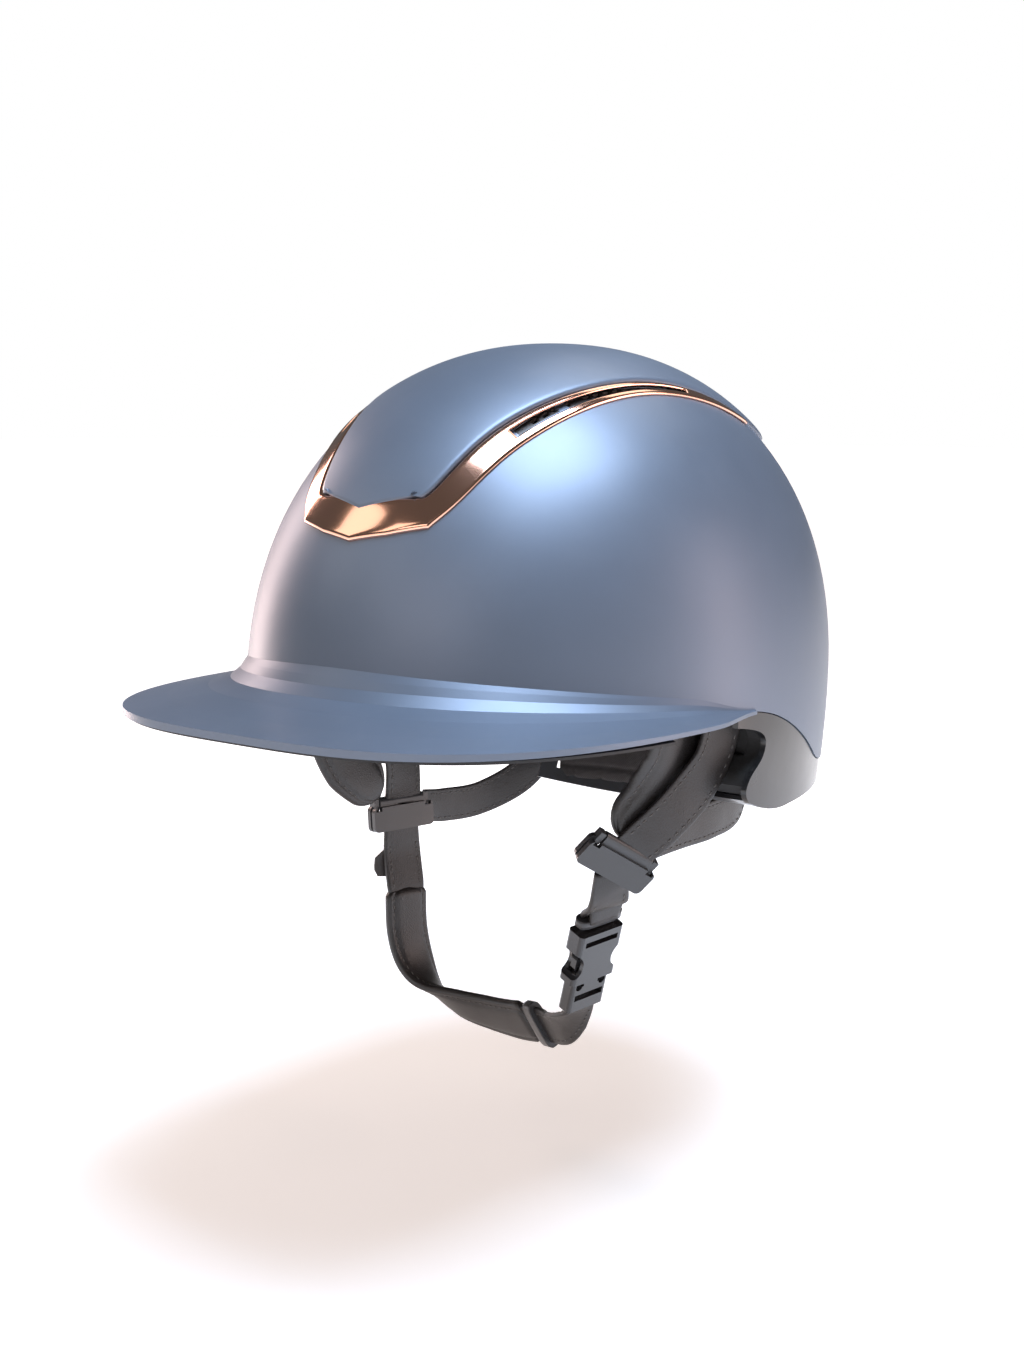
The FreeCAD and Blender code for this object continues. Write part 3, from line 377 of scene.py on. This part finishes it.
# Fit ring: two nylon bands meet in a rack and pinion behind the nape, turned by
# a ribbed dial in a cradle that carries a soft nape pad.
ring_nylon = surface("fit_ring_nylon", (0.040, 0.040, 0.043), 0.46, grain=900.0, depth=0.03)
dress(ring_nylon, "side_band_left", "side_band_right", "occipital_cradle", "band_guide_left",
      "band_guide_right", "cradle_hanger_left", "cradle_hanger_right", "dial_housing_cover")
dial_nylon = surface("dial_nylon", (0.060, 0.060, 0.064), 0.38, grain=1100.0, depth=0.03)
dress(dial_nylon, "dial_knob", "dial_pinion")
screw_steel = surface("screw_steel", (0.55, 0.54, 0.53), 0.30, metallic=1.0, grain=600.0)
dress(screw_steel, "dial_screw")
nape_low, nape_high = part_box("nape_pad")


def on_nape(u, v):
    low, high = nape_low * 1000, nape_high * 1000
    x = (low.x + high.x) / 2 + (high.x - low.x) / 2 * u
    slant = 0.384
    height = (low.z + high.z) / 2 + (high.z - low.z) / 2 * 0.9 * v
    back = 16 + math.sqrt(max(1.0, 74.0 ** 2 - x * x)) * 0.9336 + (height + 44) * slant * 0.35
    base = Vector((x, min(back, high.y), height))
    return base, Vector((-x * 0.010, -1.0, -0.1)).normalized()


nape = cushion("nape_pad_cover", on_nape, 4.6, 3.0, 1.0, rib=0.3)
covered(nape, "helmet", pad_fabric, "pad_fabric", "nape_pad")


# Harness: leather faced webbing straps hang from pockets in the liner, meet at a
# plastic divider below each ear and carry the padded cheek flaps. Edges are
# rounded and stitched in a slightly paler thread.
def run_of(route, step=1.6):
    knots = [(Vector(p), Vector(d).normalized(), s) for p, d, s in route]
    run = []
    for index in range(len(knots) - 1):
        p1, p2 = knots[index], knots[index + 1]
        p0 = knots[index - 1] if index else (p1[0] * 2 - p2[0], p1[1], p1[2])
        p3 = knots[index + 2] if index + 2 < len(knots) else (p2[0] * 2 - p1[0], p2[1], p2[2])
        pieces = max(2, int((p2[0] - p1[0]).length / step))
        for part in range(pieces):
            t = part / pieces
            point = (p1[0] * 2 + (p2[0] - p0[0]) * t
                     + (p0[0] * 2 - p1[0] * 5 + p2[0] * 4 - p3[0]) * t * t
                     + (p1[0] * 3 - p0[0] - p2[0] * 3 + p3[0]) * t ** 3) / 2
            run.append((point, p1[1].lerp(p2[1], t), p1[2] + (p2[2] - p1[2]) * t))
    run.append(knots[-1])
    frames, travelled = [], 0.0
    for index, (point, side, share) in enumerate(run):
        before = run[max(0, index - 1)][0]
        after = run[min(len(run) - 1, index + 1)][0]
        ahead = (after - before).normalized()
        across = (side - ahead * side.dot(ahead)).normalized()
        if index:
            travelled += (point - run[index - 1][0]).length
        frames.append((point, ahead, across, ahead.cross(across), share, travelled))
    return frames


def band(name, route, width, wall, power=6.0, puff=0.0, round_ends=(0.0, 0.0), groove=0.0, around=36):
    frames = run_of(route)
    rows = len(frames)
    whole = frames[-1][5]
    bm = bmesh.new()
    layer = bm.loops.layers.uv.new("along_strap")
    bmesh.ops.create_grid(bm, x_segments=rows - 1, y_segments=around, size=1.0)
    marks = {}
    for vert in bm.verts:
        row = round((vert.co.x + 1) / 2 * (rows - 1))
        share = (vert.co.y + 1) / 2
        marks[vert] = (row, share)
    for face in bm.faces:
        for loop in face.loops:
            row, share = marks[loop.vert]
            loop[layer].uv = (frames[row][5] / 1000, share * 2 * (width + wall) / 1000)
    for vert, (row, share) in marks.items():
        point, ahead, across, out, narrow, travelled = frames[row]
        scale = 1.0
        for end, distance in zip(round_ends, (travelled, whole - travelled)):
            if end and distance < end:
                scale = min(scale, math.sqrt(max(0.0004, 1 - (1 - distance / end) ** 2)))
        angle = share * 2 * math.pi
        c, s = math.cos(angle), math.sin(angle)
        x = math.copysign(abs(c) ** (2 / power), c)
        y = math.copysign(abs(s) ** (2 / power), s)
        bulge = 1.0 + puff * (1 - x * x) - groove * math.exp(-((abs(x) - 0.74) / 0.07) ** 2)
        thick = wall / 2 * bulge * (0.35 + 0.65 * scale)
        vert.co = (point + across * (x * width / 2 * narrow * scale) + out * (y * thick)) / 1000
    bmesh.ops.remove_doubles(bm, verts=bm.verts[:], dist=0.00001)
    rim = [edge for edge in bm.edges if edge.is_boundary]
    bmesh.ops.holes_fill(bm, edges=rim, sides=0)
    bmesh.ops.recalc_face_normals(bm, faces=bm.faces[:])
    return piece_from(name, bm)


def stitching(name, route, inset, wall, start=4.0, stop=4.0, pitch=3.4, faces=(-1, 1)):
    frames = run_of(route, 0.8)
    whole = frames[-1][5]
    bm = bmesh.new()
    distance = start
    while distance < whole - stop:
        frame_here = min(frames, key=lambda row: abs(row[5] - distance))
        point, ahead, across, out, narrow, _ = frame_here
        for edge in (-1, 1):
            for face in faces:
                centre = point + across * (edge * inset * narrow) + out * (face * wall / 2)
                made = bmesh.ops.create_icosphere(bm, subdivisions=1, radius=1.0)
                for vert in made["verts"]:
                    long, wide, high = vert.co
                    vert.co = (centre + ahead * long * 1.15 + across * wide * 0.34
                               + out * high * 0.26) / 1000
        distance += pitch
    return piece_from(name, bm)


def leather(name, colour, roughness):
    material = surface(name, colour, roughness, grain=1500.0, depth=0.03, tint=0.25, uneven=0.2)
    tree = material.node_tree
    shader = tree.nodes["Principled BSDF"]
    at = joined(tree, "ShaderNodeTexCoord")
    cells = joined(tree, "ShaderNodeTexVoronoi", ("Vector", at.outputs["Object"]), ("Scale", 900.0),
                   feature="DISTANCE_TO_EDGE")
    creases = joined(tree, "ShaderNodeTexNoise", ("Vector", at.outputs["Object"]), ("Scale", 130.0),
                     ("Detail", 5.0))
    skin = joined(tree, "ShaderNodeMath", (0, cells.outputs["Distance"]),
                  (1, creases.outputs["Fac"]), operation="ADD")
    bump = joined(tree, "ShaderNodeBump", ("Height", skin.outputs["Value"]), ("Strength", 0.55),
                  ("Distance", 0.00028))
    tree.links.new(bump.outputs["Normal"], shader.inputs["Normal"])
    shader.inputs["Specular IOR Level"].default_value = 0.6
    return material


strap_leather = leather("dark_strap_leather", (0.021, 0.017, 0.016), 0.46)
flap_leather = leather("soft_flap_leather", (0.026, 0.022, 0.021), 0.42)
thread = surface("stitching_thread", (0.11, 0.10, 0.092), 0.7, grain=2000.0)

left_front = [((99.5, -14, 14), (0.2, 1, 0), 1), ((99.5, -15.5, 0), (0.2, 1, 0), 1),
              ((98.5, -17, -12), (0.25, 1, 0), 1), ((96.5, -20.5, -22), (0.25, 1, -0.2), 1),
              ((93, -28, -32), (0.3, 0.8, -0.6), 1), ((88.5, -38, -41.5), (0.3, 0.7, -0.7), 0.95),
              ((83, -46.5, -49.5), (0.4, 0.7, -0.7), 0.9),
              ((78.5, -50, -54), (0.35, 0.75, -0.6), 0.85)]
left_flap = [((89, -27, 7), (0.1, 1, 0), 1), ((88.5, -27.5, -8), (0.1, 1, 0), 1),
             ((86, -31, -24), (0.2, 1, -0.2), 1), ((82.5, -37.5, -35), (0.3, 0.8, -0.6), 0.9),
             ((78, -45, -43), (0.3, 0.7, -0.7), 0.75),
             ((76.5, -49.5, -50), (0.35, 0.75, -0.6), 0.6)]
left_rear = [((71.8, 55, -18), (0.3, -0.95, 0.3), 1), ((74, 49.5, -36), (0.3, -0.8, 0.6), 1),
             ((77.5, 36, -50), (0.1, -0.5, 1), 1), ((80.5, 11, -51.5), (0, 0, 1), 1),
             ((79.5, -13, -51.5), (0, 0, 1), 1), ((78, -33, -53), (0, -0.1, 1), 0.9)]
right_front = [((-97, -8, 14), (-0.2, 1, 0), 1), ((-95, -8, -2), (-0.2, 1, 0), 1),
               ((-87, -7, -15), (-0.3, 1, 0), 1), ((-79, -5, -29), (-0.2, 1, 0), 1),
               ((-76.5, 0, -44), (0.1, 1, 0), 1), ((-75.8, 0, -58.5), (0.24, 0.97, 0), 0.95),
               ((-75.2, -1.5, -65), (0.24, 0.97, 0), 0.95)]
right_flap = [((-88, -38, 8), (-0.1, 1, 0), 1), ((-86, -37.5, -8), (0, 1, 0), 1),
              ((-84, -37, -24), (0.05, 1, 0), 1), ((-82, -29, -42), (0.1, 1, -0.3), 0.95),
              ((-79, -13, -60), (0.15, 1, -0.5), 0.6)]
right_rear = [((-53.5, 83, -26), (-0.7, -0.7, 0), 1), ((-55, 82, -44), (-0.7, -0.6, 0.2), 1),
              ((-61.5, 74, -61), (-0.3, -0.3, 0.8), 1), ((-72, 54, -71), (0, 0, 1), 1),
              ((-77.5, 32, -71.5), (0, 0, 1), 1), ((-78.5, 17, -69), (0, 0, 1), 0.9)]
upper_straps = (("front_left", left_front, 20.0), ("rear_left", left_rear, 16.0),
                ("front_right", right_front, 20.0), ("rear_right", right_rear, 16.0))
for label, route, width in upper_straps:
    strap = band("strap_" + label + "_leather", route, width, 2.2, groove=0.12)
    covered(strap, "helmet", strap_leather, "leather", "strap_" + label)
    sewn = stitching("strap_" + label + "_stitching", route, width * 0.37, 2.0)
    covered(sewn, "helmet", thread, "webbing")
for label, route, width in (("left", left_flap, 34.0), ("right", right_flap, 33.0)):
    flap = band("cheek_flap_" + label + "_cover", route, width, 4.6, power=3.2, puff=0.25,
                round_ends=(0.0, 11.0), groove=0.35, around=48)
    covered(flap, "helmet", flap_leather, "leather", "cheek_flap_" + label)
    sewn = stitching("cheek_flap_" + label + "_stitching", route, width * 0.37, 3.2, 2.0, 12.0)
    covered(sewn, "helmet", thread, "webbing")


# Dividers: two moulded halves with a hinged latch that clamp the straps below
# each ear; satin nylon.
divider_nylon = surface("divider_nylon", (0.045, 0.044, 0.046), 0.36, grain=1000.0, depth=0.03,
                        coat=0.15)
dress(divider_nylon, "divider_left_base", "divider_right_base", "divider_left_latch",
      "divider_right_latch")


# Chin strap, left: a short strap from the divider, folded back on itself and held
# by a slide keeper just above the socket half of the buckle.
mouth = Vector((46, -28.5, -114))
facing = Vector((0.9205, -0.2016, -0.3347))
down = Vector((-0.3047, 0.1659, -0.9379))
buckle_side = Vector((0.2446, 0.9653, 0.0913))
chin_left = [((74.0, -51.5, -62), (0.35, 0.8, -0.4), 0.9),
             ((69.5, -48, -71.5), (0.3, 0.95, 0), 0.95), ((65, -43, -78), (0.3, 0.95, 0), 1),
             (tuple(mouth - down * 32), tuple(buckle_side), 1),
             (tuple(mouth - down * 25), tuple(buckle_side), 1)]
strap = band("chin_strap_left_leather", chin_left, 18.0, 2.4, groove=0.12)
covered(strap, "chin_left", strap_leather, "leather", "chin_strap_left")
sewn = stitching("chin_strap_left_stitching", chin_left, 6.6, 2.2, 16.0)
covered(sewn, "chin_left", thread, "webbing")
fold = [tuple(mouth - down * 41 + facing * 2.6), tuple(mouth - down * 35 + facing * 3.2),
        tuple(mouth - down * 29 + facing * 2.8)]
folded = [(spot, tuple(buckle_side), share) for spot, share in zip(fold, (0.8, 1.0, 0.9))]
doubled = band("chin_strap_left_fold", folded, 17.0, 2.6, power=4.0, round_ends=(4.0, 0.0))
covered(doubled, "chin_left", strap_leather, "leather")
keeper = [(tuple(mouth - down * 30.5), tuple(buckle_side), 1),
          (tuple(mouth - down * 27.0), tuple(buckle_side), 1)]
roll = band("slide_keeper", keeper, 22.0, 7.0, power=4.0)
covered(roll, "chin_left", divider_nylon, "dark_plastic")


# Chin strap, right: a strap from the divider with a loose tapered tail, then a
# padded sleeve under the chin, an end keeper and the strap to the plug.
chin_right = [((-75.0, -2.2, -72), (0.24, 0.97, 0), 0.9),
              ((-74.8, -2.4, -79.5), (0.24, 0.97, 0), 0.95), ((-74.4, -2.4, -88), (0.24, 0.97, 0), 1),
              ((-72, -3, -101), (0.24, 0.97, 0), 1), ((-71.3, -3.2, -106), (0.24, 0.97, 0), 0.95)]
strap = band("chin_strap_right_leather", chin_right, 20.0, 2.4, groove=0.12)
covered(strap, "chin_right", strap_leather, "leather", "chin_strap_right")
sewn = stitching("chin_strap_right_stitching", chin_right, 7.3, 2.2, 12.0)
covered(sewn, "chin_right", thread, "webbing")
tail = [((-76.0, -6.5, -86), (0.3, 0.95, 0), 0.75), ((-78.5, -9, -92), (0.5, 0.85, 0.1), 1),
        ((-81.5, -11.5, -98), (0.7, 0.7, 0.2), 0.35)]
loose = band("loose_strap_tail", tail, 13.0, 1.8, power=5.0, round_ends=(0.0, 3.0))
covered(loose, "chin_right", strap_leather, "leather")
sleeve = [((-71.8, -3, -103), (0.24, 0.97, 0), 1), ((-70, -4, -123), (0.24, 0.97, -0.1), 1),
          ((-65.5, -3, -138), (0.2, 0.9, -0.3), 1), ((-57, -1, -148.5), (0.15, 0.8, -0.55), 1),
          ((-44, 2, -154.5), (0.05, 0.6, -0.75), 1), ((-28, 3.5, -156), (0, 0.5, -0.85), 1),
          ((-12, 1.5, -155), (0, 0.45, -0.89), 1), ((0, -1.5, -152.5), (0, 0.45, -0.89), 1)]
cover = band("chin_sleeve_cover", sleeve, 22.0, 5.0, power=3.4, puff=0.18,
             round_ends=(3.0, 3.0), groove=0.25, around=48)
covered(cover, "chin_right", flap_leather, "leather", "chin_sleeve")
sewn = stitching("chin_sleeve_stitching", sleeve, 8.1, 3.9, 5.0, 6.0)
covered(sewn, "chin_right", thread, "webbing")
chin_low = [((-3.0, -1.0, -153.0), (0, 0.45, -0.89), 1), ((1.0, -2, -152.3), (0, 0.45, -0.89), 1),
            ((12, -7, -150), (0, 0.45, -0.89), 1), ((22, -13.5, -146.5), (0.1, 0.55, -0.85), 1),
            ((30, -19, -140), (0.2, 0.75, -0.6), 1),
            (tuple(mouth + down * 17), tuple(buckle_side), 0.8),
            (tuple(mouth + down * 12.5), tuple(buckle_side), 0.7)]
strap = band("chin_strap_low_leather", chin_low, 18.0, 2.4, groove=0.12)
covered(strap, "chin_right", strap_leather, "leather", "chin_strap_low")
sewn = stitching("chin_strap_low_stitching", chin_low, 6.6, 2.2, 8.0, 8.0)
covered(sewn, "chin_right", thread, "webbing")
end_keeper = band("sleeve_end_keeper", [((3.2, -2.9, -152.0), (0, 0.45, -0.89), 1),
                                        ((9.0, -5.6, -150.7), (0, 0.45, -0.89), 1)],
                  22.5, 6.4, power=4.0)
covered(end_keeper, "chin_right", divider_nylon, "dark_plastic")


# Buckle: side release, a socket with two windows and a plug with two sprung
# prongs, in glossy nylon.
buckle_nylon = surface("buckle_nylon", (0.028, 0.027, 0.029), 0.26, coat=0.4, grain=800.0, depth=0.02)
dress(buckle_nylon, "buckle_socket", "buckle_plug", "buckle_prong_front", "buckle_prong_rear")


# Studio: pale floor under the floating helmet, a bluish softbox from above, warm
# rim lights from both sides and a white sweep behind.
bm = bmesh.new()
bmesh.ops.create_grid(bm, x_segments=1, y_segments=1, size=30.0)
floor_mesh = bpy.data.meshes.new("studio_floor")
bm.to_mesh(floor_mesh)
bm.free()
floor = bpy.data.objects.new("studio_floor", floor_mesh)
floor.location = (0.0, 0.0, -0.208)
bpy.context.scene.collection.objects.link(floor)
floor_paint = surface("pale_studio_floor", (0.93, 0.92, 0.915), 0.8, grain=300.0, depth=0.02, tint=0.01)
floor.data.materials.append(floor_paint)
floor_shader = floor_paint.node_tree.nodes["Principled BSDF"]
floor_tree = floor_paint.node_tree
# The floor glows with painted light: its emission is warm tinted and dimmer near the helmet, so the
# shadow there reads warm and dark, and rises to full white far out so the floor meets the white world.
floor_at = joined(floor_tree, "ShaderNodeTexCoord")
floor_reach = joined(floor_tree, "ShaderNodeVectorMath", (0, floor_at.outputs["Object"]),
                     operation="LENGTH")
floor_painted_glow = joined(floor_tree, "ShaderNodeMapRange", ("Value", floor_reach.outputs["Value"]),
                    ("From Min", 0.32), ("From Max", 0.80), ("To Min", 0.45), ("To Max", 1.1))
floor_tree.links.new(floor_painted_glow.outputs["Result"], floor_shader.inputs["Emission Strength"])
floor_shader.inputs["Emission Color"].default_value = (1.0, 0.93, 0.90, 1.0)

target = Vector((-0.00892, -0.00662, -0.00180))


def softbox(name, place, size, energy, colour, aim=target):
    light = bpy.data.lights.new(name, "AREA")
    light.shape = "RECTANGLE"
    light.size, light.size_y = size
    light.energy = energy
    light.color = colour
    lamp = bpy.data.objects.new(name, light)
    lamp.location = place
    lamp.rotation_euler = (Vector(aim) - Vector(place)).to_track_quat("-Z", "Y").to_euler()
    bpy.context.scene.collection.objects.link(lamp)


softbox("sky_softbox", (0.28, -0.05, 1.05), (0.65, 0.65), 22.0, (0.64, 0.80, 1.0))
softbox("right_rim_softbox", (0.95, 0.55, 0.10), (0.25, 0.9), 3.5, (1.0, 0.76, 0.70))
softbox("left_rim_softbox", (-1.0, 0.10, 0.15), (0.25, 0.9), 6.0, (1.0, 0.76, 0.70))
softbox("front_fill_softbox", (0.25, -1.3, 0.55), (0.8, 0.4), 2.0, (1.0, 0.86, 0.80))
softbox("trim_reflector_left", (-0.66, -0.62, 0.62), (0.34, 0.5), 0.9, (1.0, 0.90, 0.80))
softbox("trim_reflector_right", (-0.28, -0.95, 0.66), (0.22, 0.5), 0.6, (1.0, 0.90, 0.80))
softbox("rear_reflector", (-0.05, 0.65, 0.95), (0.7, 0.3), 1.2, (1.0, 0.92, 0.82))

world = bpy.data.worlds.new("studio_white")
world.use_nodes = True
bpy.context.scene.world = world
sky = world.node_tree
background = sky.nodes["Background"]
seen = joined(sky, "ShaderNodeLightPath")
level = joined(sky, "ShaderNodeMapRange", ("Value", seen.outputs["Is Camera Ray"]),
               ("To Min", 0.10), ("To Max", 1.0))
background.inputs["Color"].default_value = (1.0, 1.0, 1.0, 1.0)
sky.links.new(level.outputs["Result"], background.inputs["Strength"])

camera_data = bpy.data.cameras.new("product_camera")
camera_data.lens = 44.16
camera_data.sensor_width = 36.0
camera = bpy.data.objects.new("product_camera", camera_data)
swing, rise, roll = math.radians(36.57), math.radians(8.65), math.radians(0.38)
backward = Vector((math.sin(swing) * math.cos(rise), -math.cos(swing) * math.cos(rise), math.sin(rise)))
camera.location = target + backward * 0.7167
turned = (-backward).to_track_quat("-Z", "Y").to_matrix().to_4x4()
camera.rotation_euler = turned.to_euler()
camera_data.clip_start = 0.01
bpy.context.scene.collection.objects.link(camera)
bpy.context.scene.camera = camera
camera.rotation_euler.rotate_axis("Z", roll)

bpy.context.scene.view_settings.view_transform = "Standard"

bpy.context.view_layer.update()
